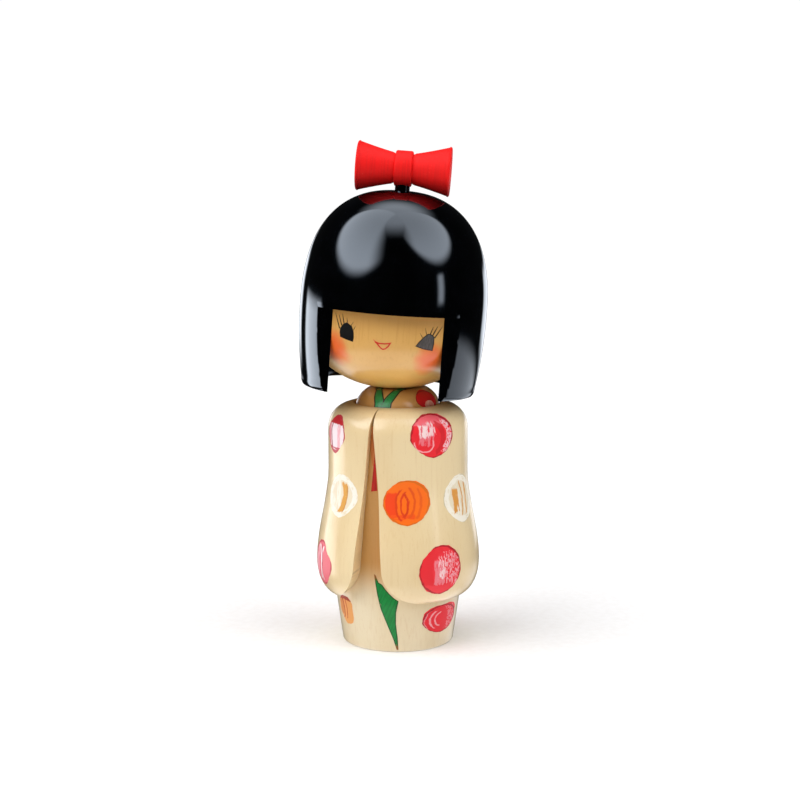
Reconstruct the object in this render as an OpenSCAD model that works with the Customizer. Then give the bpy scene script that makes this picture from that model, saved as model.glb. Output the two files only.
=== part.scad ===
// Kokeshi doll: a turned wooden doll in a kimono, with a turning head.
// The base stands on Z = 0, the body's axis is Z and the doll's front faces -Y.

/* [Body] */
// Height of the flat neck seat above the base
seat_h = 82.4; // [68:0.1:99]
// Radius of the body under the sleeves
body_r = 20.1; // [16.7:0.1:24.2]
// How much narrower the foot is at its lower edge
foot_in = 2.2; // [0:0.1:4]
// Height over which the foot widens to the full radius
foot_h = 16; // [6:0.5:18]
// Rounding of the foot's lower edge
foot_round = 0.8; // [0.4:0.1:2]
// Height of the neck from the shoulder to its seat
neck_h = 10; // [8.3:0.1:12]
// Radius of the neck above the shoulder
neck_r = 13.9; // [11.6:0.1:16.6]
// Rounding of the neck up to its seat
neck_round = 8.6; // [7.2:0.1:8.8]
// Radius of the flat neck seat
seat_r = 8.8; // [8.2:0.1:10.6]

/* [Kimono sleeves] */
// Height of the sleeves' lower rim above the base
sleeve_low = 16.2; // [13:0.1:19]
// Thickness of the sleeves over the shoulder
sleeve_roof = 4.9; // [3.5:0.1:6]
// Thickness of the sleeves at the arms
arm_wall = 2.2; // [1.8:0.05:3]
// How much the cuffs stand out beyond the arms
cuff_flare = 3.85; // [3.2:0.05:5]
// Height where the sleeves hang widest
cuff_h = 26.5; // [22:0.1:32]
// Distance of the flare's start below the top face
flare_drop = 20.3; // [16:0.1:25]
// Rounding of the shoulder's outer edge
arm_round = 7.8; // [4:0.1:10]
// Thickness of the rim that the cuffs turn in to
cuff_lip = 0.35; // [0.3:0.05:1]
// Wood left above the tip of the front slot
slot_stop = 0.3; // [0.2:0.1:15]
// Width of the front slot just above its round corners
slot_w = 9.3; // [7:0.1:12]
// Radius of the two round corners where the slot meets the rim
slot_corner = 13; // [8:0.1:16]

/* [Head] */
// Radius of the head inside the hair
head_r = 26.4; // [22:0.1:31.7]
// Height of the head's flat top above the neck seat, inside the hair
head_h = 38.6; // [32:0.1:43]
// How far the head's curve is cut off by the flat that rests on the neck
chin_cut = 0.4; // [0.2:0.1:1]
// Height above the neck seat where the chin's curve reaches the full radius
cheek_h = 18.1; // [15:0.1:22]

/* [Hair] */
// Thickness of the hair at its widest
hair_wall = 3.25; // [2.7:0.05:4]
// Thickness of the hair at its lower rim
rim_wall = 1.3; // [1.1:0.05:2]
// Height of the crown above the neck seat
crown_rise = 62.1; // [54:0.1:74]
// Height above the neck seat where the hair is widest
widest_rise = 24.6; // [20:0.1:30]
// Distance of the hair's lower rim below the neck seat
rim_drop = 0.7; // [0:0.1:3]
// Rounding of the rim's outer edge
rim_round = 0.8; // [0.3:0.1:1]
// Height of the fringe above the neck seat
fringe_rise = 25.3; // [21:0.1:31]
// Depth of the flat cut beside the face, measured in from the head's front
window_in = 6.2; // [4:0.1:9]

/* [Bow] */
// Length of the bow
bow_w = 29.5; // [24:0.1:36]
// Radius of the bow's ends
bow_end_r = 7.8; // [6.5:0.1:9.4]
// Radius of the bow beside its knot
bow_waist_r = 4.8; // [4:0.1:5.3]
// Width of the knot
knot_w = 5.5; // [4:0.1:8]
// Radius of the knot
knot_r = 5.6; // [5.4:0.1:6.8]
// Rounding of the bow's ends and of the knot's edges
bow_round = 0.6; // [0.2:0.1:0.9]

/* [Dowels and fits] */
// Diameter of the dowel in the neck
dowel_d = 6; // [4:0.5:9]
// Depth of the dowel in the body, and of its bore in the head
dowel_depth = 13; // [8:0.5:18]
// Free depth of the head's bore beyond the dowel
bore_spare = 5; // [1:0.5:8]
// Diameter of the peg that carries the bow
peg_d = 4.8; // [3:0.1:6]
// Depth of the peg in the hair
peg_depth = 8; // [4:0.5:14]
// Depth of the peg in the bow
peg_grip = 2.6; // [1:0.1:3.2]
// Length of the peg that shows between the crown and the bow
peg_show = 1.1; // [0.5:0.1:4]
// Radial clearance of the neck dowel in the head's bore
turn_gap = 0.05; // [0.02:0.01:0.08]
// Gap between the neck seat and the head
seat_gap = 0.1; // [0.05:0.01:0.3]
// Glue line between fixed pieces
glue_gap = 0.05; // [0.02:0.01:0.1]

/* [Pose at rest] */
// Turn of the head about the neck dowel, in degrees
head_turn = 18; // [-90:1:90]
// Lean of the head to its left, in degrees
head_lean = 4.3; // [0:0.1:5]
// Height above the neck seat of the point about which the head leans
lean_rise = 44.1; // [30:0.1:56]

/* [Hidden] */
$fn = 96;
arc_steps = 14;
// Reach of a cutting shape past the solid it cuts
past = 5;
// Width of the slot's sharp tip
slot_tip = 0.3;
// How square the crown's and the chin's curves are: 2 is an ellipse
crown_power = 2.42;
chin_power = 2.05;
// How late the bow's flare widens: 1 is a straight cone
bow_power = 1.15;
pale_wood = "#E3CB98";
warm_wood = "#D9AC6A";
black_lacquer = "#0A0A0C";
bow_red = "#E8140C";

foot_r = body_r - foot_in;
shoulder_h = seat_h - neck_h;
neck_hole_r = neck_r + glue_gap;
sleeve_bore_r = body_r + glue_gap;
sleeve_top = shoulder_h + glue_gap + sleeve_roof;
arm_r = sleeve_bore_r + arm_wall;
cuff_r = arm_r + cuff_flare;
cuff_tuck = cuff_r - sleeve_bore_r - cuff_lip;
flare_h = sleeve_top - flare_drop;
// The shoulder's rounding stops at the hole for the neck
arm_turn = min(arm_round, arm_r - neck_hole_r);
slot_top = sleeve_top - slot_stop;
chin_z = seat_h - chin_cut;
cheek_z = seat_h + cheek_h;
head_top = seat_h + head_h;
hair_bore_r = head_r + glue_gap;
hair_r = hair_bore_r + hair_wall;
rim_r = hair_bore_r + rim_wall;
rim_z = seat_h - rim_drop;
widest_z = seat_h + widest_rise;
crown_z = seat_h + crown_rise;
fringe_z = seat_h + fringe_rise;
window_y = head_r - window_in;
lean_z = seat_h + lean_rise;
bow_z = crown_z + peg_show + knot_r;
dowel_r = dowel_d / 2;
peg_r = peg_d / 2;

// Circular arc of radius r about c, from angle a to angle b
function arc(c, r, a, b) =
    [for (i = [0:arc_steps]) let (t = a + (b - a) * i / arc_steps) c + r * [cos(t), sin(t)]];

// Quarter of a superellipse about c, from angle a to angle b; power 2 is an ellipse
function bulge(c, w, h, power, a, b) =
    [for (i = [0:arc_steps]) let (t = a + (b - a) * i / arc_steps)
        c + [w * pow(cos(t), 2 / power), h * sign(sin(t)) * pow(abs(sin(t)), 2 / power)]];

// Sleeve radius at height z on the flare: a smooth wave from arm to cuff
function flare_r(z) = arm_r + (cuff_r - arm_r) * (1 - cos(180 * (flare_h - z) / (flare_h - cuff_h))) / 2;

// Bow radius at distance x from the knot's edge
function bow_r(x) = bow_waist_r + (bow_end_r - bow_waist_r) * pow(x / (bow_w / 2 - knot_w / 2), bow_power);

// Places the head, hair and bow: leaned and turned on the neck
module on_neck() {
    rotate([0, 0, head_turn])
        translate([0, 0, lean_z])
            rotate([0, head_lean, 0])
                translate([0, 0, -lean_z])
                    children();
}

// Solid of revolution from the points of its outline, as radius and height
module turned(outline) {
    rotate_extrude() polygon(outline);
}

// One turned solid: foot, waist, a shoulder for the sleeves and a rounded neck
module body() {
    neck_x = neck_r - neck_round;
    neck_end = acos((seat_r - neck_x) / neck_round);
    neck_z = seat_h - neck_round * sin(neck_end);
    color(pale_wood)
        difference() {
            turned(concat(
                [[0, 0]],
                arc([foot_r - foot_round, foot_round], foot_round, -90, 0),
                [[body_r, foot_h], [body_r, shoulder_h], [neck_r, shoulder_h]],
                arc([neck_x, neck_z], neck_round, 0, neck_end),
                [[0, seat_h]]));
            translate([0, 0, seat_h - dowel_depth])
                cylinder(r = dowel_r + glue_gap, h = dowel_depth + past);
        }
}

// Opening between the two sleeves, as seen from the front
module slot() {
    side = slot_w / 2;
    corner_z = sleeve_low + slot_corner;
    right = concat(
        [[slot_tip / 2, slot_top]],
        arc([side + slot_corner, corner_z], slot_corner, 180, 270),
        [[side + slot_corner, sleeve_low - past]]);
    left = [for (i = [len(right) - 1:-1:0]) [-right[i].x, right[i].y]];
    rotate([90, 0, 0])
        linear_extrude(height = cuff_r + past)
            polygon(concat(right, left));
}

// Shell over the body: round shoulders, flared cuffs and a slot down the front
module kimono_sleeves() {
    color(pale_wood)
        difference() {
            turned(concat(
                [[sleeve_bore_r, sleeve_low]],
                bulge([cuff_r - cuff_tuck, cuff_h], cuff_tuck, cuff_h - sleeve_low, 2, -90, 0),
                [for (i = [1:arc_steps]) let (z = cuff_h + (flare_h - cuff_h) * i / arc_steps)
                    [flare_r(z), z]],
                arc([arm_r - arm_turn, sleeve_top - arm_turn], arm_turn, 0, 90),
                [[neck_hole_r, sleeve_top], [neck_hole_r, shoulder_h + glue_gap],
                 [sleeve_bore_r, shoulder_h + glue_gap]]));
            slot();
        }
}

// Plain round dowel: glued in the body, free to turn in the head
module neck_dowel() {
    color(pale_wood)
        translate([0, 0, seat_h - dowel_depth])
            cylinder(r = dowel_r, h = 2 * dowel_depth);
}

// Turned head: a rounded chin, cut flat where it sits on the neck
module head() {
    seat_z = seat_h + seat_gap;
    color(warm_wood)
        difference() {
            on_neck()
                turned(concat(
                    bulge([0, cheek_z], head_r, cheek_z - chin_z, chin_power, -90, 0),
                    [[head_r, head_top], [0, head_top]]));
            translate([-head_r, -head_r, seat_z - 2 * past])
                cube([2 * head_r, 2 * head_r, 2 * past]);
            translate([0, 0, seat_z - past])
                cylinder(r = dowel_r + turn_gap, h = past + dowel_depth + bore_spare);
        }
}

// Turned cap of hair, bored for the head and cut open in front of the face
module hair() {
    crown = crown_z - widest_z;
    rim_rise = 3 * rim_round;
    rim_y = widest_z - rim_z - rim_rise;
    // The hair's sides are part of an ellipse that would close this far below its widest place
    taper = rim_y / sqrt(1 - pow(rim_r / hair_r, 2));
    color(black_lacquer)
        on_neck()
            difference() {
                turned(concat(
                    [[hair_bore_r, rim_z]],
                    bulge([rim_r - rim_round, rim_z + rim_rise], rim_round, rim_rise, 2, -90, 0),
                    [for (i = [1:arc_steps]) let (y = rim_y * (1 - i / arc_steps))
                        [hair_r * sqrt(1 - pow(y / taper, 2)), widest_z - y]],
                    bulge([0, widest_z], hair_r, crown, crown_power, 0, 90),
                    [[0, head_top + glue_gap], [hair_bore_r, head_top + glue_gap]]));
                translate([-hair_r - past, -hair_r - past, rim_z - past])
                    cube([2 * (hair_r + past), hair_r + past - window_y, fringe_z - rim_z + past]);
                translate([0, 0, crown_z - peg_depth])
                    cylinder(r = peg_r + glue_gap, h = peg_depth + past);
            }
}

// Short peg that holds the bow above the crown
module bow_peg() {
    low = crown_z - peg_depth;
    high = bow_z - knot_r + peg_grip;
    color(black_lacquer)
        on_neck()
            translate([0, 0, low])
                cylinder(r = peg_r, h = high - low);
}

// Bow turned like a spool, lying across the crown
module bow() {
    reach = bow_w / 2 - knot_w / 2;
    end_x = bow_w / 2 - bow_round;
    half = concat(
        arc([knot_r - bow_round, knot_w / 2 - bow_round], bow_round, 0, 90),
        [for (i = [0:arc_steps - 1]) let (x = reach * i / arc_steps) [bow_r(x), knot_w / 2 + x]],
        arc([bow_end_r - bow_round, end_x], bow_round, 0, 90));
    other_half = [for (i = [len(half) - 1:-1:0]) [half[i].x, -half[i].y]];
    color(bow_red)
        on_neck()
            translate([0, 0, bow_z])
                difference() {
                    rotate([0, 90, 0])
                        turned(concat([[0, -bow_w / 2]], other_half, half, [[0, bow_w / 2]]));
                    translate([0, 0, -knot_r - past])
                        cylinder(r = peg_r + glue_gap, h = past + peg_grip);
                }
}

body();
kimono_sleeves();
neck_dowel();
head();
hair();
bow_peg();
bow();
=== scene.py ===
# Kokeshi doll: the looks of a turned and painted wooden doll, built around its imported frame.
# Lengths in the dictionaries are millimetres and angles are degrees unless a note says otherwise.
import math
from functools import partial

import bmesh
import bpy
from mathutils import Matrix, Vector


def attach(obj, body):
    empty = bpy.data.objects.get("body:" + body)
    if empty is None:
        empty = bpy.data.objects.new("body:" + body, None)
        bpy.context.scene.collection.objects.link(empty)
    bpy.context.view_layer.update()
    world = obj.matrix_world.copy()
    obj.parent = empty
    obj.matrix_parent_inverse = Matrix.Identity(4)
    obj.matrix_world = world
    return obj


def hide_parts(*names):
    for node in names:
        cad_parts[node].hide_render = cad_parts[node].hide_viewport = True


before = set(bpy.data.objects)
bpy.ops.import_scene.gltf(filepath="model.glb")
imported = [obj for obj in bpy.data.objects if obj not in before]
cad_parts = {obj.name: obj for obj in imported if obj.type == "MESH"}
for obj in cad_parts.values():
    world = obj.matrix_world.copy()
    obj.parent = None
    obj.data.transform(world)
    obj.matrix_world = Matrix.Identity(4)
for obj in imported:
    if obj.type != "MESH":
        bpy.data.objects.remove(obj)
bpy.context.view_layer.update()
print("frame loaded with", len(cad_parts), "nodes")

mm = 0.001


# small helpers
def linear(hexColour):
    # sRGB hex to the linear colour that sockets hold
    parts = [int(hexColour[i:i + 2], 16) / 255 for i in (1, 3, 5)]
    return tuple(p / 12.92 if p <= 0.04045 else ((p + 0.055) / 1.055) ** 2.4 for p in parts) + (1.0,)


def addNode(tree, kind, settings=None, sockets=None):
    # sockets maps an input's name or number to a value, or to another node's output to link
    node = tree.nodes.new(kind)
    for name, value in (settings or {}).items():
        setattr(node, name, value)
    for key, value in (sockets or {}).items():
        if isinstance(value, bpy.types.NodeSocket):
            tree.links.new(value, node.inputs[key])
        else:
            node.inputs[key].default_value = value
    return node


def newFinish(name, sockets):
    finish = bpy.data.materials.new(name)
    finish.use_nodes = True
    shader = finish.node_tree.nodes["Principled BSDF"]
    for key, value in sockets.items():
        shader.inputs[key].default_value = value
    return finish, finish.node_tree, shader


def startPiece(name, add, **settings):
    # the primitive that add makes becomes the named piece, open in edit mode with all of it selected
    bpy.ops.object.select_all(action="DESELECT")
    add(**settings)
    piece = bpy.context.object
    piece.name = name
    piece.data.name = name
    bpy.ops.object.mode_set(mode="EDIT")
    bpy.ops.mesh.select_all(action="SELECT")
    return piece


def onlySelect(piece):
    bpy.ops.object.select_all(action="DESELECT")
    piece.select_set(True)
    bpy.context.view_layer.objects.active = piece


def finishModifier(piece, kind, settings):
    onlySelect(piece)
    modifier = piece.modifiers.new(kind.lower(), kind)
    for name, value in settings.items():
        setattr(modifier, name, value)
    bpy.ops.object.modifier_apply(modifier=modifier.name)


def drawLine(points):
    # the selected plane shrinks to its first corner and is drawn out along the points, in metres
    bpy.ops.mesh.merge(type="CENTER")
    bpy.ops.transform.translate(value=points[0])
    for a, b in zip(points, points[1:]):
        bpy.ops.mesh.extrude_region_move(TRANSFORM_OT_translate={"value": Vector(b) - Vector(a)})
    bpy.ops.mesh.select_all(action="SELECT")


def arcPoints(centre, radius, start, end, steps=10):
    turns = [math.radians(start + (end - start) * i / steps) for i in range(steps + 1)]
    return [(centre[0] + radius * math.cos(t), centre[1] + radius * math.sin(t)) for t in turns]


def linePoints(start, end, steps):
    # evenly spaced points that end on the end and leave out the start
    return [tuple(a + (b - a) * i / steps for a, b in zip(start, end)) for i in range(1, steps + 1)]


def bulgePoints(centre, width, height, power, start, end, steps=16):
    # quarter of a superellipse: power 2 is an ellipse, more is squarer
    points = []
    for i in range(steps + 1):
        t = math.radians(start + (end - start) * i / steps)
        across = max(0.0, math.cos(t)) ** (2 / power)
        up = math.copysign(abs(math.sin(t)) ** (2 / power), math.sin(t))
        points.append((centre[0] + width * across, centre[1] + height * up))
    return points


def turnPiece(name, outline, segments):
    # an outline of radius and height, spun about Z as on the lathe
    piece = startPiece(name, bpy.ops.mesh.primitive_plane_add, size=mm)
    drawLine([(r * mm, 0, z * mm) for r, z in outline])
    bpy.ops.mesh.spin(steps=segments, angle=2 * math.pi, center=(0, 0, 0), axis=(0, 0, 1))
    bpy.ops.mesh.select_all(action="SELECT")
    bpy.ops.mesh.remove_doubles(threshold=0.001 * mm)
    bpy.ops.mesh.normals_make_consistent(inside=False)
    bpy.ops.object.mode_set(mode="OBJECT")
    return piece


def setInPlace(piece, place):
    # the turn, the lean and the place go into the mesh, so the object stays at the origin
    onlySelect(piece)
    piece.matrix_world = place
    bpy.ops.object.transform_apply(location=True, rotation=True, scale=True)


def smooth(piece, angle=40):
    onlySelect(piece)
    bpy.ops.object.shade_smooth_by_angle(angle=math.radians(angle))


def cutAway(piece, cutter, weld, edge, near):
    # the cutter takes its shape out, slivers beside the cut are welded and its edges eased
    finishModifier(piece, "BOOLEAN", {"object": cutter, "operation": "DIFFERENCE", "solver": "EXACT"})
    bpy.data.objects.remove(cutter, do_unlink=True)
    onlySelect(piece)
    bpy.ops.object.mode_set(mode="EDIT")
    bpy.ops.mesh.select_all(action="DESELECT")
    shape = bmesh.from_edit_mesh(piece.data)
    for vertex in shape.verts:
        away = near(vertex.co)
        vertex.select_set(0.03 * mm < away < weld * mm)
    bmesh.update_edit_mesh(piece.data)
    bpy.ops.mesh.remove_doubles(threshold=weld * mm, use_unselected=True)
    bpy.ops.object.mode_set(mode="OBJECT")
    finishModifier(piece, "BEVEL", {"width": edge * mm, "segments": 3, "limit_method": "ANGLE",
                                    "angle_limit": math.radians(35), "use_clamp_overlap": True})


def cadSize(node, place=Matrix.Identity(4)):
    # lowest and highest point and largest radius of a CAD node, in the frame it was turned in
    back = place.inverted()
    points = [back @ v.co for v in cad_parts[node].data.vertices]
    heights = [p.z / mm for p in points]
    return min(heights), max(heights), max(p.xy.length for p in points) / mm


def radiusAt(outline, z):
    # outer radius of a turned outline at a height
    return max(a[0] + (b[0] - a[0]) * (z - a[1]) / (b[1] - a[1]) for a, b in zip(outline, outline[1:])
               if a[1] != b[1] and min(a[1], b[1]) <= z <= max(a[1], b[1]))


# how the head sits at rest
headSeat = {"turn": 18.0, "lean": 4.3, "leanHeight": 126.5}
pivot = Matrix.Translation((0, 0, headSeat["leanHeight"] * mm))
headPlace = (Matrix.Rotation(math.radians(headSeat["turn"]), 4, "Z") @ pivot
             @ Matrix.Rotation(math.radians(headSeat["lean"]), 4, "Y") @ pivot.inverted())


# finishes
def objectSpace(tree, scale=(1, 1, 1), place=None):
    # object coordinates in millimetres, stretched by scale and, on the head, turned with it
    coordinates = addNode(tree, "ShaderNodeTexCoord").outputs["Object"]
    if place is not None:
        coordinates = addNode(tree, "ShaderNodeMapping", {"vector_type": "TEXTURE"}, {
            "Vector": coordinates, "Location": place.to_translation(),
            "Rotation": place.to_euler()}).outputs[0]
    return addNode(tree, "ShaderNodeMapping", {"vector_type": "POINT"}, {
        "Vector": coordinates, "Scale": [1000 * s for s in scale]}).outputs[0]


# short names for the nodes used most: the node, its settings, its inputs in order and its output
shortNames = {
    "noise": ("ShaderNodeTexNoise", {}, ("Vector", "Scale", "Detail", "Roughness"), "Fac"),
    "bump": ("ShaderNodeBump", {}, ("Strength", "Distance", "Height"), 0),
    "height": ("ShaderNodeSeparateXYZ", {}, (0,), 2),
    "ramp": ("ShaderNodeMapRange", {"interpolation_type": "SMOOTHSTEP"}, (0, 1, 2, 3, 4), 0),
    "line": ("ShaderNodeMapRange", {"interpolation_type": "LINEAR"}, (0, 1, 2, 3, 4), 0),
    "mix": ("ShaderNodeMix", {"data_type": "RGBA", "blend_type": "MIX"}, (0, 6, 7), 2),
    "tint": ("ShaderNodeMix", {"data_type": "RGBA", "blend_type": "MULTIPLY"}, (0, 6, 7), 2),
}


def addStep(tree, name, *values):
    # a node by its short name or, for arithmetic, by the operation; gives its output
    sums = ("ShaderNodeMath", {"operation": name}, (0, 1, 2), 0)
    kind, settings, inputs, output = shortNames.get(name, sums)
    return addNode(tree, kind, settings, dict(zip(inputs, values))).outputs[output]


woods = {
    "sleeve": {"pale": "#F0D8A8", "deep": "#E6C995", "fleck": "#D9B27C"},
    "body": {"pale": "#F1E0BD", "deep": "#E6CFA4", "fleck": "#D6B27F"},
    "face": {"pale": "#E0AB5A", "deep": "#D0953F", "fleck": "#BA7C30"},
    "dowel": {"pale": "#DCBE8C", "deep": "#C79E63", "fleck": "#A9783F"},
    # painted shade: above this height the body's wood darkens to this warmer colour
    "paintedShadeWood": "#DDB277", "paintedShadeAbove": 24.0,
    "grainWide": 0.7, "grainLong": 14.0, "ringPitch": 0.45, "fleckWide": 0.35,
}


def woodFinish(name, colours, place=None, varnish=0.9, roughness=0.42):
    # pale maple-like wood, turned, sanded and wiped with satin varnish: straight grain up the doll,
    # faint rings from the lathe tool and a soft broad shine
    finish, tree, shader = newFinish(name, {"Roughness": roughness, "IOR": 1.5,
                                            "Coat Weight": varnish, "Coat Roughness": 0.17})
    wire = partial(addStep, tree)
    wide, long = 1 / woods["grainWide"], 1 / woods["grainLong"]
    grain = wire("noise", objectSpace(tree, (wide, wide, long), place), 1.0, 3.0)
    rings = wire("noise", objectSpace(tree, (0.03, 0.03, 1 / woods["ringPitch"]), place), 1.0, 1.0)
    flecks = wire("noise", objectSpace(tree, (1, 1, 0.3), place), 1 / woods["fleckWide"], 2.0)
    clouds = wire("noise", objectSpace(tree, (1, 1, 0.4), place), 1 / 16, 1.0)
    cloudy = wire("ramp", clouds, 0.35, 0.65, 0.0, 0.6)
    colour = wire("mix", cloudy, linear(colours["pale"]), linear(colours["deep"]))
    colour = wire("mix", wire("ramp", grain, 0.5, 0.75, 0.0, 0.22), colour, linear(colours["fleck"]))
    colour = wire("mix", wire("ramp", flecks, 0.6, 0.8, 0.0, 0.3), colour, linear(colours["fleck"]))
    height = wire("ADD", wire("MULTIPLY", rings, 0.6), wire("MULTIPLY", grain, 0.5))
    tree.links.new(wire("bump", 0.35, 0.03 * mm, height), shader.inputs["Normal"])
    shine = wire("ramp", rings, 0.3, 0.7, roughness - 0.04, roughness + 0.05)
    tree.links.new(shine, shader.inputs["Roughness"])
    tree.links.new(colour, shader.inputs["Base Color"])
    return finish, tree, shader, colour


def bodyFinish():
    # the body's wood with painted shade: a warmer, darker tint above the foot stands in for the shade under
    # the sleeves and the head
    finish, tree, shader, colour = woodFinish("satinBodyWood", woods["body"])
    wire = partial(addStep, tree)
    height = wire("height", objectSpace(tree))
    # painted shade, strongest above the foot where the sleeves and the head shade the body
    under = wire("ramp", height, woods["paintedShadeAbove"] - 8, woods["paintedShadeAbove"] + 6)
    colour = wire("tint", under, colour, linear(woods["paintedShadeWood"]))
    tree.links.new(colour, shader.inputs["Base Color"])
    return finish


blush = {"right": (33.8, 93.6), "left": (-39.5, 95.0), "spread": 8.2, "colour": "#EC5C14", "strength": 0.92}


def faceFinish(radius):
    # the same wood under a warmer varnish, with painted shadow under the fringe, painted light towards the
    # chin, and rouge dabbed on softly so that it fades all round
    finish, tree, shader, colour = woodFinish("warmVarnishedWood", woods["face"], headPlace, 0.6, 0.36)
    wire = partial(addStep, tree)
    height = wire("height", objectSpace(tree, place=headPlace))
    # painted shadow of the fringe: darker towards the top of the face
    colour = wire("mix", wire("ramp", height, 100.0, 107.0, 0.0, 0.6), colour, linear("#BC8234"))
    # painted light: lighter towards the chin
    colour = wire("mix", wire("ramp", height, 98.0, 88.0, 0.0, 0.45), colour, linear("#E4B868"))
    for side in ("left", "right"):
        spot = headPlace @ Vector(onTurned(*blush[side], radius))
        away = addNode(tree, "ShaderNodeVectorMath", {"operation": "DISTANCE"}, {
            0: addNode(tree, "ShaderNodeTexCoord").outputs["Object"], 1: spot}).outputs["Value"]
        dabs = wire("noise", objectSpace(tree), 0.22, 1.0)
        reach = wire("MULTIPLY", away, wire("ramp", dabs, 0.3, 0.7, 0.9, 1.15))
        mask = wire("ramp", reach, 0.25 * blush["spread"] * mm, blush["spread"] * mm, blush["strength"], 0.0)
        colour = wire("mix", mask, colour, linear(blush["colour"]))
    tree.links.new(colour, shader.inputs["Base Color"])
    return finish


def lacquerFinish(name, place):
    # black lacquer over wood, brushed thick and polished: near-black with clear mirror shine,
    # a slight ripple and the faintest dust in it
    finish, tree, shader = newFinish(name, {"IOR": 1.52, "Coat Weight": 1.0, "Coat Roughness": 0.03,
                                            "Coat Tint": linear("#D8E6F2"), "Specular IOR Level": 0.6,
                                            "Specular Tint": linear("#D0E2F2")})
    wire = partial(addStep, tree)
    ripple = wire("noise", objectSpace(tree, place=place), 0.16, 1.0)
    dust = wire("noise", objectSpace(tree, place=place), 2.2, 2.0)
    shade = wire("mix", wire("ramp", ripple, 0.3, 0.7), linear("#000000"), linear("#020203"))
    shade = wire("mix", wire("ramp", dust, 0.76, 0.82, 0.0, 0.2), shade, linear("#2A2D32"))
    tree.links.new(shade, shader.inputs["Base Color"])
    tree.links.new(wire("ramp", dust, 0.3, 0.8, 0.07, 0.13), shader.inputs["Roughness"])
    height = wire("ADD", ripple, wire("MULTIPLY", dust, 0.004))
    bump = wire("bump", 0.25, 0.05 * mm, height)
    for socket in ("Normal", "Coat Normal"):
        tree.links.new(bump, shader.inputs[socket])
    return finish


bowPaint = {"colour": "#F40C08", "deep": "#D80C08", "below": "#6E0706", "ringPitch": 0.5, "grit": 0.45}


def bowFinish(place):
    # thick matt red paint brushed round the turned bow: fine ridges round it, a dry, gritty skin and painted
    # shade darkening its underside
    finish, tree, shader = newFinish("mattRedPaint", {"Roughness": 0.65, "IOR": 1.45,
                                                      "Specular IOR Level": 0.3})
    wire = partial(addStep, tree)
    ringSpace = objectSpace(tree, (1 / bowPaint["ringPitch"], 0.05, 0.05), place)
    rings = wire("noise", ringSpace, 1.0, 2.0)
    grit = wire("noise", objectSpace(tree, place=place), 1 / bowPaint["grit"], 2.0)
    ridges = wire("ramp", rings, 0.42, 0.7, 0.0, 0.35)
    colour = wire("mix", ridges, linear(bowPaint["colour"]), linear(bowPaint["deep"]))
    colour = wire("mix", wire("ramp", grit, 0.62, 0.75, 0.0, 0.25), colour, linear("#FF5A48"))
    height = wire("height", objectSpace(tree, place=place))
    # painted shade: the red darkens towards the bow's underside
    colour = wire("mix", wire("ramp", height, -1.0, -7.5, 0.0, 0.75), colour, linear(bowPaint["below"]))
    tree.links.new(colour, shader.inputs["Base Color"])
    tree.links.new(wire("ramp", grit, 0.3, 0.7, 0.55, 0.7), shader.inputs["Roughness"])
    height = wire("ADD", rings, wire("MULTIPLY", grit, 0.8))
    tree.links.new(wire("bump", 0.45, 0.05 * mm, height), shader.inputs["Normal"])
    return finish


def onTurned(azimuth, height, radius):
    # the point at an angle from the front, at a height, on a turned surface, in metres
    turn = math.radians(azimuth)
    return radius * mm * math.sin(turn), -radius * mm * math.cos(turn), height * mm


# turned pieces
body = {"seat": cadSize("body")[1], "radius": 20.1, "footRadius": 17.9, "footHeight": 16.0,
        "footRound": 0.8, "shoulder": 72.4, "neckRadius": 13.9, "neckRound": 8.6, "seatRadius": 8.8,
        "segments": 160}
neckMiddle = body["neckRadius"] - body["neckRound"]
neckEnd = math.degrees(math.acos((body["seatRadius"] - neckMiddle) / body["neckRound"]))
neckLow = body["seat"] - body["neckRound"] * math.sin(math.radians(neckEnd))
footMiddle = (body["footRadius"] - body["footRound"], body["footRound"])
bodyOutline = (
    [(0, 0), (9, 0)]
    + arcPoints(footMiddle, body["footRound"], -90, 0, steps=5)
    + linePoints((body["footRadius"], body["footRound"]), (body["radius"], body["footHeight"]), steps=6)
    + linePoints((body["radius"], body["footHeight"]), (body["radius"], body["shoulder"]), steps=24)
    + [(body["neckRadius"], body["shoulder"])]
    + arcPoints((neckMiddle, neckLow), body["neckRound"], 0, neckEnd, steps=14)
    + [(3.5, body["seat"]), (0, body["seat"])])
turnedBody = turnPiece("turnedBody", bodyOutline, body["segments"])
smooth(turnedBody)

sleeves = {"low": cadSize("kimono_sleeves")[0], "top": cadSize("kimono_sleeves")[1], "arm": 22.35,
           "cuff": cadSize("kimono_sleeves")[2], "cuffHeight": 26.5, "flareHeight": 57.05, "armRound": 7.8,
           "cuffTuck": 5.7, "slotTop": 77.05, "slotWide": 9.3, "slotCorner": 13.0, "slotTip": 0.3,
           "glue": 0.05, "segments": 160, "edge": 0.7, "weld": 0.75}


def flareRadius(z):
    # the sleeves' radius, which swells in half a wave from the arm down to the cuff
    drop = (sleeves["flareHeight"] - z) / (sleeves["flareHeight"] - sleeves["cuffHeight"])
    wave = (1 - math.cos(math.pi * drop)) / 2
    return sleeves["arm"] + (sleeves["cuff"] - sleeves["arm"]) * wave


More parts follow.
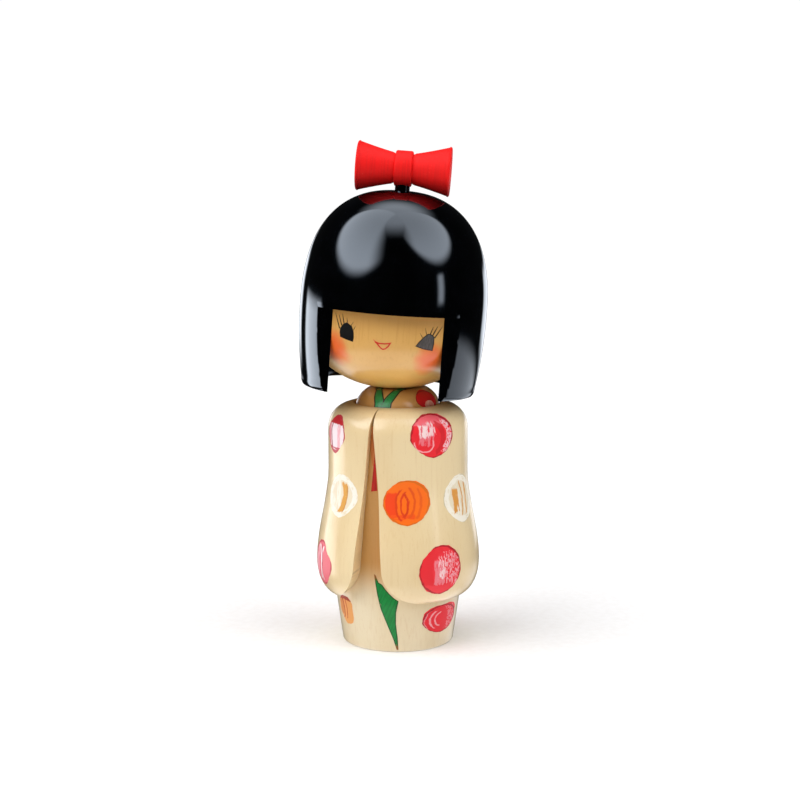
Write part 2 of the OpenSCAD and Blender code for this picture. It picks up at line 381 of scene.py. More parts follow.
sleeveBore = body["radius"] + sleeves["glue"]
neckHole = body["neckRadius"] + sleeves["glue"]
roofLow = body["shoulder"] + sleeves["glue"]
cuffMiddle = (sleeves["cuff"] - sleeves["cuffTuck"], sleeves["cuffHeight"])
cuffDrop = sleeves["cuffHeight"] - sleeves["low"]
armMiddle = (sleeves["arm"] - sleeves["armRound"], sleeves["top"] - sleeves["armRound"])
flare = linePoints((0, sleeves["cuffHeight"]), (0, sleeves["flareHeight"]), steps=16)
sleeveOutline = (
    [(sleeveBore, sleeves["low"])]
    + bulgePoints(cuffMiddle, sleeves["cuffTuck"], cuffDrop, 2, -90, 0, steps=14)
    + [(flareRadius(z), z) for _, z in flare]
    + [(sleeves["arm"], 61.0), (sleeves["arm"], 65.0)]
    + arcPoints(armMiddle, sleeves["armRound"], 0, 90, steps=12)
    + [(neckHole, sleeves["top"]), (neckHole, roofLow), (sleeveBore, roofLow)]
    + linePoints((sleeveBore, roofLow), (sleeveBore, sleeves["low"]), steps=30))
kimonoSleeves = turnPiece("kimonoSleeves", sleeveOutline, sleeves["segments"])


def slotSide(z):
    # half the slot's width at a height: a slim wedge that flares round at its foot
    cornerHeight = sleeves["low"] + sleeves["slotCorner"]
    if z >= cornerHeight:
        rise = (sleeves["slotTop"] - z) / (sleeves["slotTop"] - cornerHeight)
        return sleeves["slotTip"] / 2 + (sleeves["slotWide"] - sleeves["slotTip"]) / 2 * rise
    drop = min(1.0, (cornerHeight - z) / sleeves["slotCorner"])
    return sleeves["slotWide"] / 2 + sleeves["slotCorner"] * (1 - math.sqrt(1 - drop * drop))


def slotCutter():
    # the slot's outline as seen from the front, drawn out through the front wall
    middle = (sleeves["slotWide"] / 2 + sleeves["slotCorner"], sleeves["low"] + sleeves["slotCorner"])
    corner = arcPoints(middle, sleeves["slotCorner"], 180, 270, steps=28)
    side = [(sleeves["slotTip"] / 2, sleeves["slotTop"])] + corner + [(corner[-1][0], sleeves["low"] - 5)]
    ring = side + [(-x, z) for x, z in reversed(side)]
    cutter = startPiece("slotCutter", bpy.ops.mesh.primitive_plane_add, size=mm)
    drawLine([(x * mm, 0, z * mm) for x, z in ring + ring[:1]])
    bpy.ops.mesh.remove_doubles(threshold=0.001 * mm)
    bpy.ops.mesh.edge_face_add()
    bpy.ops.mesh.extrude_region_move(TRANSFORM_OT_translate={"value": (0, -32 * mm, 0)})
    bpy.ops.mesh.select_all(action="SELECT")
    bpy.ops.mesh.normals_make_consistent(inside=False)
    bpy.ops.object.mode_set(mode="OBJECT")
    return cutter


def besideSlot(co):
    # distance from the slot's side walls for a point on the front, in metres
    z = co.z / mm
    if co.y > 0 or z > sleeves["slotTop"]:
        return 1.0
    corner = sleeves["low"] + sleeves["slotCorner"]
    side = abs(co.x) / mm
    if z < corner:
        middle = sleeves["slotWide"] / 2 + sleeves["slotCorner"]
        reach = Vector((middle - side, corner - z)).length
        return abs(sleeves["slotCorner"] - reach) * mm if side < middle else 1.0
    return abs(side - slotSide(z)) * mm


cutAway(kimonoSleeves, slotCutter(), sleeves["weld"], sleeves["edge"], besideSlot)
smooth(kimonoSleeves)
print("body and sleeves turned")

headHigh, headRadius = cadSize("head", headPlace)[1:]
head = {"radius": headRadius, "top": headHigh, "chin": 82.0, "cheek": 100.5, "power": 2.05,
        "seat": body["seat"] + 0.1, "segments": 160}
chinDrop = head["cheek"] - head["chin"]
headOutline = (
    bulgePoints((0, head["cheek"]), head["radius"], chinDrop, head["power"], -90, 0, steps=30)
    + linePoints((head["radius"], head["cheek"]), (head["radius"], head["top"]), steps=12)
    + [(0, head["top"])])
faceHead = turnPiece("faceHead", headOutline, head["segments"])
setInPlace(faceHead, headPlace)
# the chin is cut flat where it rests on the neck
bpy.ops.object.mode_set(mode="EDIT")
bpy.ops.mesh.select_all(action="SELECT")
bpy.ops.mesh.bisect(plane_co=(0, 0, head["seat"] * mm), plane_no=(0, 0, 1), clear_inner=True,
                    use_fill=True, threshold=0.001 * mm)
bpy.ops.object.mode_set(mode="OBJECT")
smooth(faceHead, 30)

hairLow, hairHigh, hairRadius = cadSize("hair", headPlace)
hair = {"radius": hairRadius - 0.05, "crown": hairHigh, "rim": hairLow, "middle": 107.0,
        "rimRadius": 27.75, "power": 2.42, "rimRound": 0.8, "rimRise": 2.4, "fringe": 107.7,
        "window": 20.2, "glue": 0.05, "segments": 192, "edge": 0.45, "weld": 0.6}
hairBore = head["radius"] + hair["glue"]
hairRoof = head["top"] + hair["glue"]
rimDrop = hair["middle"] - hair["rim"] - hair["rimRise"]
hairTaper = rimDrop / math.sqrt(1 - (hair["rimRadius"] / hair["radius"]) ** 2)


def hairRadiusBelow(drop):
    # the hair's radius at a depth below its widest ring
    return hair["radius"] * math.sqrt(1 - (drop / hairTaper) ** 2)


rimMiddle = (hairRadiusBelow(rimDrop) - hair["rimRound"], hair["rim"] + hair["rimRise"])
crownRise = hair["crown"] - hair["middle"]
drops = [rimDrop * (1 - i / 18) for i in range(1, 19)]
hairOutline = (
    [(hairBore, hair["rim"])]
    + bulgePoints(rimMiddle, hair["rimRound"], hair["rimRise"], 2, -90, 0, steps=6)
    + [(hairRadiusBelow(drop), hair["middle"] - drop) for drop in drops]
    + bulgePoints((0, hair["middle"]), hair["radius"], crownRise, hair["power"], 0, 90, steps=44)[1:]
    + [(0, hairRoof), (hairBore, hairRoof)]
    + linePoints((hairBore, hairRoof), (hairBore, hair["rim"]), steps=24))
hairCap = turnPiece("hairCap", hairOutline, hair["segments"])


def windowCutter():
    # a box in front of the face: its back is the flat cut beside the cheeks, its top the fringe
    wide, deep, high = 70, 20, hair["fringe"] - hair["rim"] + 5
    middle = (0, (-hair["window"] - deep / 2) * mm, (hair["fringe"] - high / 2) * mm)
    cutter = startPiece("windowCutter", bpy.ops.mesh.primitive_cube_add, size=1, location=middle)
    bpy.ops.transform.resize(value=(wide * mm, deep * mm, high * mm))
    bpy.ops.object.mode_set(mode="OBJECT")
    return cutter


def besideWindow(co):
    # distance from the window's two cut planes, in metres
    back = abs(co.y + hair["window"] * mm) if co.z < (hair["fringe"] + 0.5) * mm else 1.0
    above = abs(co.z - hair["fringe"] * mm) if co.y < (0.5 - hair["window"]) * mm else 1.0
    return min(back, above)


cutAway(hairCap, windowCutter(), hair["weld"], hair["edge"], besideWindow)
setInPlace(hairCap, headPlace)
smooth(hairCap, 35)
print("head and hair turned")

bow = {"height": 151.2, "width": 29.5, "end": 7.8, "waist": 4.8, "knotWide": 5.5, "knot": 5.6,
       "round": 0.6, "power": 1.15, "groove": 0.25, "segments": 128}
bowSpan = bow["width"] / 2 - bow["knotWide"] / 2
grooveRadius = bow["waist"] - bow["groove"]
bowHalf = (
    arcPoints((bow["knot"] - bow["round"], bow["knotWide"] / 2 - bow["round"]), bow["round"], 0, 90, steps=5)
    + [(grooveRadius, bow["knotWide"] / 2), (grooveRadius, bow["knotWide"] / 2 + 0.12)]
    + [(bow["waist"] + (bow["end"] - bow["waist"]) * (i / 14) ** bow["power"],
        bow["knotWide"] / 2 + bowSpan * i / 14) for i in range(1, 14)]
    + arcPoints((bow["end"] - bow["round"], bow["width"] / 2 - bow["round"]), bow["round"], 0, 90, steps=5)
    + [(bow["end"] / 2, bow["width"] / 2), (0, bow["width"] / 2)])
bowOutline = [(r, -z) for r, z in reversed(bowHalf)] + bowHalf
redBow = turnPiece("redBow", bowOutline, bow["segments"])
bowPlace = headPlace @ Matrix.Translation((0, 0, bow["height"] * mm))
setInPlace(redBow, bowPlace @ Matrix.Rotation(math.pi / 2, 4, "Y"))
smooth(redBow, 35)
print("bow turned")


# painted marks: thin films of paint that lie on the turned wood
film = {"gap": 0.008, "thick": 0.035, "longest": 1.1, "away": 120.0}


def facing(azimuth, tilt=0.0, place=Matrix.Identity(4)):
    # a painter's plane: X to the right and Z up on it, -Y out of the wood
    return (place @ Matrix.Rotation(math.radians(azimuth), 4, "Z")
            @ Matrix.Rotation(math.radians(-tilt), 4, "X"))


def paintMark(name, target, plane, outline, finishes, border=0.0, keepInside=True, unit=None):
    # outline holds plane positions in metres; the film is pressed onto the target along the plane's Y
    area = sum(a[0] * b[1] - b[0] * a[1] for a, b in zip(outline, outline[1:] + outline[:1]))
    if area < 0:
        outline = outline[::-1]
    mark = startPiece(name, bpy.ops.mesh.primitive_circle_add, vertices=len(outline), radius=mm,
                      fill_type="NGON")
    shape = bmesh.from_edit_mesh(mark.data)
    turnOf = {v: math.atan2(v.co.y, v.co.x) % (2 * math.pi) for v in shape.verts}
    for vertex, (x, z) in zip(sorted(shape.verts, key=turnOf.get), outline):
        vertex.co = (x, -film["away"] * mm, z)
    shape.normal_update()
    if any(face.normal.y > 0 for face in shape.faces):
        bpy.ops.mesh.flip_normals()
    bmesh.update_edit_mesh(mark.data)
    if border:
        bpy.ops.mesh.inset(thickness=border * mm, depth=0)
        shape = bmesh.from_edit_mesh(mark.data)
        for face in shape.faces:
            face.material_index = 0 if face.select else 1
        bmesh.update_edit_mesh(mark.data)
        if not keepInside:
            bpy.ops.mesh.delete(type="FACE")
    bpy.ops.mesh.select_all(action="SELECT")
    bpy.ops.mesh.quads_convert_to_tris(quad_method="BEAUTY", ngon_method="BEAUTY")
    for step in range(9):
        shape = bmesh.from_edit_mesh(mark.data)
        bpy.ops.mesh.select_all(action="DESELECT")
        shape.select_mode = {"EDGE"}
        long = [edge for edge in shape.edges if edge.calc_length() > film["longest"] * mm]
        if not long:
            break
        for edge in long:
            edge.select_set(True)
        bmesh.update_edit_mesh(mark.data)
        bpy.ops.mesh.subdivide(number_cuts=1)
        bpy.ops.mesh.select_all(action="SELECT")
        bpy.ops.mesh.quads_convert_to_tris(quad_method="BEAUTY", ngon_method="BEAUTY")
    bpy.ops.object.mode_set(mode="OBJECT")
    if unit:
        layer = mark.data.uv_layers.active or mark.data.uv_layers.new(name="brushUv")
        layer.name = "brushUv"
        middleX, middleZ, wide, tall = unit
        for loop in mark.data.loops:
            co = mark.data.vertices[loop.vertex_index].co
            layer.uv[loop.index].vector = ((co.x / mm - middleX) / wide, (co.z / mm - middleZ) / tall)
    mark.matrix_world = plane
    bpy.context.view_layer.update()
    finishModifier(mark, "SHRINKWRAP", {
        "target": target, "wrap_method": "PROJECT", "wrap_mode": "ABOVE_SURFACE", "use_project_x": False,
        "use_project_y": True, "use_project_z": False, "use_negative_direction": False,
        "use_positive_direction": True, "offset": film["gap"] * mm})
    finishModifier(mark, "SOLIDIFY", {"thickness": film["thick"] * mm, "offset": 1.0})
    onlySelect(mark)
    bpy.ops.object.transform_apply(location=True, rotation=True, scale=True)
    for finish in finishes:
        mark.data.materials.append(finish)
    smooth(mark, 60)
    return mark


# brushed flower paints
def makeBrushGroup():
    # one dry brush stroke as a mask: an arc about a centre, broken up by the hairs of the brush
    group = bpy.data.node_groups.new("dryBrushStroke", "ShaderNodeTree")
    wire = partial(addStep, group)
    values = {"CentreX": 0.0, "CentreY": 0.0, "Radius": 0.5, "Width": 0.1, "Low": -2.0, "High": 2.0,
              "Left": -2.0, "Right": 2.0, "Hairs": 8.0, "Dashes": 1.0, "Cover": 0.6, "Seed": 0.0}
    group.interface.new_socket("Vector", in_out="INPUT", socket_type="NodeSocketVector")
    for key, value in values.items():
        socket = group.interface.new_socket(key, in_out="INPUT", socket_type="NodeSocketFloat")
        socket.default_value = value
    group.interface.new_socket("Mask", in_out="OUTPUT", socket_type="NodeSocketFloat")
    give = addNode(group, "NodeGroupInput").outputs
    wobble = addNode(group, "ShaderNodeTexNoise", None, {
        "Vector": give["Vector"], "Scale": 3.0, "Detail": 2.0})
    shift = addNode(group, "ShaderNodeVectorMath", {"operation": "MULTIPLY_ADD"}, {
        0: wobble.outputs["Color"], 1: (0.16, 0.16, 0.0), 2: give["Vector"]}).outputs[0]
    shift = addNode(group, "ShaderNodeVectorMath", {"operation": "SUBTRACT"}, {
        0: shift, 1: (0.08, 0.08, 0.0)}).outputs[0]
    place = addNode(group, "ShaderNodeSeparateXYZ", None, {0: shift}).outputs
    x = wire("SUBTRACT", place[0], give["CentreX"])
    y = wire("SUBTRACT", place[1], give["CentreY"])
    away = wire("SQRT", wire("ADD", wire("MULTIPLY", x, x), wire("MULTIPLY", y, y)))
    along = wire("MULTIPLY", wire("ARCTAN2", y, x), wire("MAXIMUM", give["Radius"], 0.2))
    hairVector = addNode(group, "ShaderNodeCombineXYZ", None, {
        0: wire("MULTIPLY", away, give["Hairs"]), 1: wire("MULTIPLY", along, give["Dashes"]),
        2: give["Seed"]}).outputs[0]
    hairs = wire("noise", hairVector, 1.0, 3.0, 0.6)
    off = wire("ABSOLUTE", wire("SUBTRACT", away, give["Radius"]))
    edge = wire("SUBTRACT", give["Width"], off)
    band = wire("ramp", edge, -0.015, 0.03)
    limits = ((place[1], give["Low"]), (give["High"], place[1]),
              (place[0], give["Left"]), (give["Right"], place[0]))
    for upper, lower in limits:
        past = wire("ADD", wire("SUBTRACT", upper, lower), wire("MULTIPLY", hairs, 0.3))
        band = wire("MULTIPLY", band, wire("ramp", past, 0.12, 0.2))
    level = wire("SUBTRACT", 1.0, give["Cover"])
    soft = wire("SUBTRACT", hairs, wire("line", level, 0.0, 1.0, 0.25, 0.75))
    addNode(group, "NodeGroupOutput", None, {0: wire("MULTIPLY", band, wire("ramp", soft, -0.03, 0.05))})
    return group


brushStroke = makeBrushGroup()
far = 6.0    # a centre this far off makes a straight stroke


def dab(colour, radius, width, x=0.0, y=0.0, **limits):
    # one stroke for the brush: its paint, the arc it follows and where it starts and stops
    return colour, {"CentreX": x, "CentreY": y, "Radius": radius, "Width": width,
                    **{name.capitalize(): value for name, value in limits.items()}}


flowerPaints = {
    "scarletDabPaint": ("#F01E2A", [
        dab("#F4606B", 0.72, 0.26, y=0.1, low=0.5, cover=0.85, hairs=5),
        dab("#F0727D", far - 0.3, 0.34, x=-far, low=-0.42, high=0.6, cover=0.66, hairs=10, dashes=2),
        dab("#FADAD7", far - 0.42, 0.2, x=-far, low=-0.05, high=0.5, cover=0.54, hairs=14, dashes=2.5),
        dab("#F8D0CE", far - 0.08, 0.18, x=-far, low=0.05, high=0.62, cover=0.5, hairs=14, dashes=2.5),
        dab("#DC1420", 0.82, 0.12, x=-0.35, y=-0.1, left=0.1, cover=0.95),
        dab("#F7C6CA", 0.9, 0.17, x=-0.08, left=0.42, low=-0.75, high=0.7, cover=0.56, hairs=14, dashes=12),
        dab("#F9A9AE", 0.42, 0.035, x=-0.42, y=-0.3, high=-0.2, cover=0.9),
        dab("#B30F1E", 0.985, 0.05, cover=0.85)]),
    "orangeDabPaint": ("#FA6E06", [
        dab("#F2440C", far - 0.66, 0.26, x=-far, low=-0.7, high=0.45, cover=0.8, hairs=5),
        dab("#F5520E", far - 0.62, 0.12, y=-far, left=-0.7, right=0.35, cover=0.8),
        dab("#E23C0A", 1.2, 0.05, x=0.72, y=-0.1, low=-0.8, high=0.6, right=0.0, cover=0.9),
        dab("#E23C0A", 0.98, 0.045, x=0.72, y=-0.12, low=-0.7, high=0.5, right=0.1, cover=0.85),
        dab("#DB380A", 0.72, 0.06, x=-0.66, y=-0.1, low=-0.6, high=0.5, left=-0.2, cover=0.9),
        dab("#E9510C", 1.0, 0.055, x=-0.66, low=-0.7, high=0.65, left=0.1, cover=0.88),
        dab("#EE5C0C", 1.28, 0.06, x=-0.66, low=-0.7, high=0.65, left=0.3, cover=0.82),
        dab("#DE6A0B", 0.985, 0.05, cover=0.8)]),
    "whiteDabPaint": ("#EBDDBF", [
        dab("#F8F0DE", 0.86, 0.15, cover=0.68, hairs=9, dashes=2.5),
        dab("#F6ECD6", far - 0.02, 0.3, x=-far, low=-0.7, high=0.7, cover=0.5, hairs=9),
        dab("#E09A45", far - 0.34, 0.18, x=-far, low=-0.55, high=0.42, cover=0.78, hairs=6, dashes=2),
        dab("#DDA052", 1.42, 0.05, x=-1.3, low=-0.7, high=0.75, left=-0.1, cover=0.85),
        dab("#DDA052", 1.72, 0.06, x=-1.3, low=-0.7, high=0.55, left=0.0, cover=0.8),
        dab("#CDBB95", 0.99, 0.03, cover=0.7)]),
    "rosePaint": ("#F02834", [
        dab("#EC222D", 1.02, 0.27, x=0.3, right=0.1, cover=0.96),
        dab("#F07C86", far - 0.1, 0.24, x=-far, low=-0.6, high=0.4, cover=0.7, hairs=9, dashes=3),
        dab("#F9D4D3", far + 0.02, 0.2, x=-far, low=-0.35, high=0.55, cover=0.46, hairs=14, dashes=4),
        dab("#F4A8AE", far + 0.36, 0.24, x=-far, low=-0.55, high=0.72, cover=0.46, hairs=13, dashes=6),
        dab("#F29AA2", far + 0.72, 0.26, x=-far, low=-0.7, high=0.62, cover=0.46, hairs=13, dashes=9),
        dab("#F2323D", far + 0.8, 0.2, y=far, right=0.5, cover=0.95),
        dab("#B21522", 0.985, 0.045, cover=0.85)]),
    "blossomPaint": ("#F7E4E6", [
        dab("#E58C95", far - 0.75, 0.22, x=-far, cover=0.85),
        dab("#9E1A26", 2.05, 0.06, x=1.6, low=-0.7, high=0.8, cover=0.95),
        dab("#F3B4BB", far + 0.45, 0.16, x=-far, cover=0.6, hairs=7),
        dab("#C01F28", far + 0.78, 0.24, y=-far, cover=0.85, hairs=6),
        dab("#C9525C", far + 0.85, 0.18, y=far, cover=0.8),
        dab("#C03440", 0.98, 0.07, cover=0.92)]),
    "whiteArcPaint": ("#EEDFC2", [
        dab("#F8F1E2", 0.86, 0.16, cover=0.66, hairs=8, dashes=2.5),
        dab("#F6EEDC", far - 0.35, 0.4, x=-far, cover=0.5, hairs=8),
        dab("#E2A450", 1.28, 0.15, x=-1.0, y=0.05, low=-0.75, high=0.62, left=-0.3, cover=0.86, hairs=9),
        dab("#C98736", 1.42, 0.03, x=-1.0, y=0.05, low=-0.7, high=0.5, left=-0.3, cover=0.8)]),
    "pinkArcPaint": ("#E9707B", [
        dab("#F3A9B0", far - 0.6, 0.3, x=-far, cover=0.7, hairs=7),
        dab("#FBE9EA", 1.55, 0.07, x=-1.6, y=-0.1, low=-0.75, high=0.8, cover=0.9),
        dab("#FBE9EA", 1.75, 0.06, x=1.7, y=-0.1, low=-0.8, high=0.75, cover=0.85),
        dab("#BE3A48", 1.68, 0.04, x=-1.6, low=-0.8, high=0.8, cover=0.9),
        dab("#C84552", 0.975, 0.07, cover=0.9)]),
    "crimsonSpiralPaint": ("#EC2230", [
        dab("#F3A3A9", 0.55, 0.05, x=0.15, low=-0.6, high=0.6, right=-0.1, cover=0.75),
        dab("#F3A3A9", 0.85, 0.05, x=0.2, low=-0.65, high=0.65, right=-0.2, cover=0.7),
        dab("#F08C95", 1.12, 0.05, x=0.2, low=-0.6, high=0.7, right=-0.3, cover=0.7),
        dab("#EF8089", 1.95, 0.28, x=-1.3, low=-0.8, high=0.85, cover=0.52, hairs=11, dashes=6),
        dab("#B01724", 0.98, 0.05, cover=0.9)]),
    "amberArcPaint": ("#EBA35C", [
        dab("#D98A4A", far - 0.5, 0.35, x=-far, low=-0.4, cover=0.75, hairs=6),
        dab("#BC3F26", 1.28, 0.06, x=-1.5, low=-0.7, cover=0.9),
        dab("#C8552E", 1.68, 0.06, x=-1.5, low=-0.6, cover=0.85),
        dab("#B4452C", far + 0.9, 0.16, y=-far, cover=0.8)]),
    "cherryRingPaint": ("#D81C1E", [
        dab("#F2A58E", 0.0, 0.42, y=-0.55, cover=0.8),
        dab("#F6C0B0", 0.3, 0.05, x=0.15, y=-0.5, cover=0.8),
        dab("#9C0C12", 0.97, 0.06, cover=0.9)]),
}


def flowerFinish(name, ground, strokes):
    # opaque poster paint under the varnish, dabbed on with a half-dry brush: streaky, with a darker
    # wet edge
    finish, tree, shader = newFinish(name, {"Roughness": 0.5, "IOR": 1.5, "Coat Weight": 0.15,
                                            "Coat Roughness": 0.22, "Specular IOR Level": 0.3})
    wire = partial(addStep, tree)
    where = addNode(tree, "ShaderNodeUVMap", {"uv_map": "brushUv"}).outputs[0]
    colour = linear(ground)
    height = wire("noise", where, 4.0, 3.0)
    for number, (paint, stroke) in enumerate(strokes):
        mask = addNode(tree, "ShaderNodeGroup", {"node_tree": brushStroke}, {
            "Vector": where, **stroke, "Seed": 3.7 * number + len(name)}).outputs[0]
        colour = wire("mix", mask, colour, linear(paint))
        height = wire("MULTIPLY_ADD", mask, 0.5, height)
    tree.links.new(colour, shader.inputs["Base Color"])
    tree.links.new(wire("bump", 0.3, 0.03 * mm, height), shader.inputs["Normal"])
    return finish


flowerFinishes = {name: flowerFinish(name, *recipe) for name, recipe in flowerPaints.items()}

# each flower: where its middle is, its half sizes, the paint, and how far its edge lies at eight points
# round it, from the right and upwards
flowers = {
    "upperRightRose": {"at": (51.4, 69.4), "half": (7.6, 6.7), "paint": "scarletDabPaint",
                       "edge": (1.0, 1.05, 1.0, 1.0, 1.0, 0.92, 1.0, 0.97)},
    "orangeFlower": {"at": (28.8, 49.15), "half": (7.25, 6.95), "paint": "orangeDabPaint",
                     "edge": (1.02, 1.06, 1.0, 0.96, 1.0, 1.0, 1.0, 0.98)},
    "whiteRightFlower": {"at": (80.5, 48.6), "half": (8.1, 7.6), "paint": "whiteDabPaint",
                         "edge": (1.0, 0.98, 1.0, 0.95, 1.0, 0.93, 1.0, 0.95)},
    "lowerRightRose": {"at": (53.4, 27.8), "half": (7.65, 7.8), "paint": "rosePaint",
                       "edge": (1.0, 1.02, 1.0, 0.93, 1.0, 1.02, 1.0, 0.97)},
    "upperLeftBlossom": {"at": (-40.2, 68.65), "half": (5.56, 6.05), "paint": "blossomPaint",
                         "edge": (1.0, 0.98, 1.0, 0.95, 1.0, 0.95, 1.0, 0.85)},
    "whiteLeftFlower": {"at": (-29.0, 49.75), "half": (7.0, 6.75), "paint": "whiteArcPaint",
                        "edge": (1.0, 0.95, 1.0, 0.95, 1.0, 0.97, 1.0, 0.9)},
    "lowerLeftRose": {"at": (-45.5, 27.3), "half": (6.6, 7.2), "paint": "pinkArcPaint",
                      "edge": (1.0, 0.75, 1.0, 1.0, 1.0, 0.95, 1.0, 0.9)},
    "backLeftRose": {"at": (-128.0, 69.2), "half": (7.0, 6.4), "paint": "rosePaint",
                     "edge": (1.0, 0.96, 1.0, 1.03, 1.0, 0.98, 1.0, 1.0)},
    "backRightRose": {"at": (140.0, 68.8), "half": (7.2, 6.6), "paint": "scarletDabPaint",
                      "edge": (1.0, 1.0, 1.0, 0.95, 1.0, 1.02, 1.0, 0.96)},
    "backOrangeFlower": {"at": (178.0, 49.0), "half": (7.1, 6.8), "paint": "orangeDabPaint",
                         "edge": (1.0, 1.03, 1.0, 0.98, 1.0, 1.0, 1.0, 0.96)},
    "backWhiteFlower": {"at": (130.0, 48.0), "half": (7.4, 7.0), "paint": "whiteArcPaint",
                        "edge": (1.0, 0.97, 1.0, 0.96, 1.0, 0.95, 1.0, 1.0)},
    "leftOrangeFlower": {"at": (-86.0, 48.4), "half": (7.2, 7.0), "paint": "orangeDabPaint",
                         "edge": (1.0, 0.98, 1.0, 1.02, 1.0, 1.0, 1.0, 0.98)},
    "backLeftWhiteFlower": {"at": (-136.0, 48.8), "half": (7.3, 7.1), "paint": "whiteDabPaint",
                            "edge": (1.0, 1.0, 1.0, 0.96, 1.0, 0.94, 1.0, 0.98)},
    "backLowRose": {"at": (170.0, 27.8), "half": (7.6, 7.4), "paint": "scarletDabPaint",
                    "edge": (1.0, 1.0, 1.0, 1.0, 1.0, 0.95, 1.0, 0.97)},
    "rightLowRose": {"at": (127.0, 27.5), "half": (7.3, 7.3), "paint": "blossomPaint",
                     "edge": (1.0, 1.0, 1.0, 0.96, 1.0, 1.0, 1.0, 0.95)},
    "backLeftLowRose": {"at": (-146.0, 27.6), "half": (7.4, 7.4), "paint": "rosePaint",
                        "edge": (1.0, 0.98, 1.0, 0.96, 1.0, 1.02, 1.0, 1.0)},
    "leftLowRose": {"at": (-98.0, 27.9), "half": (7.5, 7.2), "paint": "scarletDabPaint",
                    "edge": (1.0, 1.02, 1.0, 0.95, 1.0, 1.0, 1.0, 0.94)},
    "footRightRose": {"at": (68.0, 9.9), "half": (7.4, 4.6), "paint": "crimsonSpiralPaint", "on": "body",
                      "edge": (1.0, 1.2, 1.0, 1.12, 1.0, 0.95, 1.0, 0.98)},
    "footLeftFlower": {"at": (-36.0, 11.9), "half": (4.0, 4.6), "paint": "amberArcPaint", "on": "body",
                       "edge": (0.9, 1.1, 1.0, 1.1, 1.0, 0.8, 1.0, 1.1)},
    "footBackRose": {"at": (168.0, 9.6), "half": (7.2, 4.4), "paint": "crimsonSpiralPaint", "on": "body",
                     "edge": (1.0, 1.15, 1.0, 1.1, 1.0, 0.95, 1.0, 1.0)},
    "footBackFlower": {"at": (-128.0, 9.8), "half": (6.6, 4.3), "paint": "orangeDabPaint", "on": "body",
                       "edge": (1.0, 1.1, 1.0, 1.12, 1.0, 0.98, 1.0, 1.0)},
}


def flowerOutline(flower, steps=48):
    # an oval pulled in or out at eight points round it, with smooth waves between them
    points = []
    for i in range(steps):
        turn = i / steps * 8
        low = int(turn)
        blend = (1 - math.cos(math.pi * (turn - low))) / 2
        reach = flower["edge"][low] * (1 - blend) + flower["edge"][(low + 1) % 8] * blend
        reach *= 1 + 0.012 * math.sin(2.3 * i) + 0.008 * math.sin(5.1 * i)
        angle = 2 * math.pi * i / steps
        points.append((flower["half"][0] * reach * math.cos(angle) * mm,
                       (flower["at"][1] + flower["half"][1] * reach * math.sin(angle)) * mm))
    return points


baseMarks = []
for name, flower in flowers.items():
    onBody = flower.get("on") == "body"
    mark = paintMark(name, turnedBody if onBody else kimonoSleeves, facing(flower["at"][0]),
                     flowerOutline(flower), [flowerFinishes[flower["paint"]]],
                     unit=(0.0, flower["at"][1], *flower["half"]))
    baseMarks.append(mark)
print(len(flowers), "flowers painted")


# leaf, collar, the red under-robe and painted shade in the slot
def brushedFinish(name, colour, deep, streak, turn=0.0, shine=0.35):
    # poster paint laid on in one direction under the varnish, so that its streaks show
    finish, tree, shader = newFinish(name, {"Roughness": 0.4, "IOR": 1.5, "Coat Weight": shine,
                                            "Coat Roughness": 0.2})
    wire = partial(addStep, tree)
    space = addNode(tree, "ShaderNodeMapping", {"vector_type": "TEXTURE"}, {
        "Vector": objectSpace(tree), "Rotation": (0, math.radians(turn), 0),
        "Scale": (streak, streak, streak * 9)})
    hairs = wire("noise", space.outputs[0], 1.0, 3.0)
    mixed = wire("mix", wire("ramp", hairs, 0.38, 0.68), linear(colour), linear(deep))
    tree.links.new(mixed, shader.inputs["Base Color"])
    tree.links.new(wire("bump", 0.3, 0.03 * mm, hairs), shader.inputs["Normal"])
    return finish


def leafFinish(name, colour, deep):
    # green wash brushed along the leaf and pulled out thin to brown at both tips
    finish = brushedFinish(name, colour, deep, 0.5, 24, 0.15)
    tree = finish.node_tree
    wire = partial(addStep, tree)
    shader = tree.nodes["Principled BSDF"]
    height = wire("height", objectSpace(tree))
    rise = wire("MULTIPLY_ADD", wire("noise", objectSpace(tree), 1.4, 2.0), 2.4, height)
    upper = wire("ramp", rise, 24.0, 26.2)
    lower = wire("ramp", rise, 4.4, 2.4)
    green = shader.inputs["Base Color"].links[0].from_socket
    colour = wire("mix", wire("MAXIMUM", upper, lower), green, linear("#9A5A22"))
    tree.links.new(colour, shader.inputs["Base Color"])
    return finish


leafEdgePaint = leafFinish("washedLeafEdgePaint", "#0A5A20", "#084C1A")
leafPaint = leafFinish("brushedLeafPaint", "#00923C", "#007832")
collarPaint = brushedFinish("brushedCollarPaint", "#08984A", "#067C3C", 0.4)
collarEdgePaint = brushedFinish("inkLinePaint", "#0B120D", "#14261A", 0.4)
robePaint = brushedFinish("robeRedPaint", "#C81C0A", "#A51206", 0.5)
# the robe's red with painted shade: darker where the top of the slot lies in shade
robeRedWithPaintedShade = brushedFinish("robeRedPaintedShadePaint", "#8E1208", "#7A0E06", 0.5)
# painted shade: a brown sheet where the wood inside the slot lies in shade
slotShadePaint = brushedFinish("slotPaintedShadeBrown", "#CF7A38", "#BA6529", 0.5)


def aroundPoints(points, outline, plane):
    # azimuth and height pairs on a turned outline, brought onto the painter's plane
    back = plane.inverted()
    flat = [back @ Vector(onTurned(a, z, r[0] if r else radiusAt(outline, z))) for a, z, *r in points]
    return [(p.x, p.z) for p in flat]


def addBaseMark(name, target, plane, outline, finishes, slot, **more):
    # a mark that moves with the base
    mark = paintMark(name, target, plane, outline, finishes, **more)
    baseMarks.append(mark)


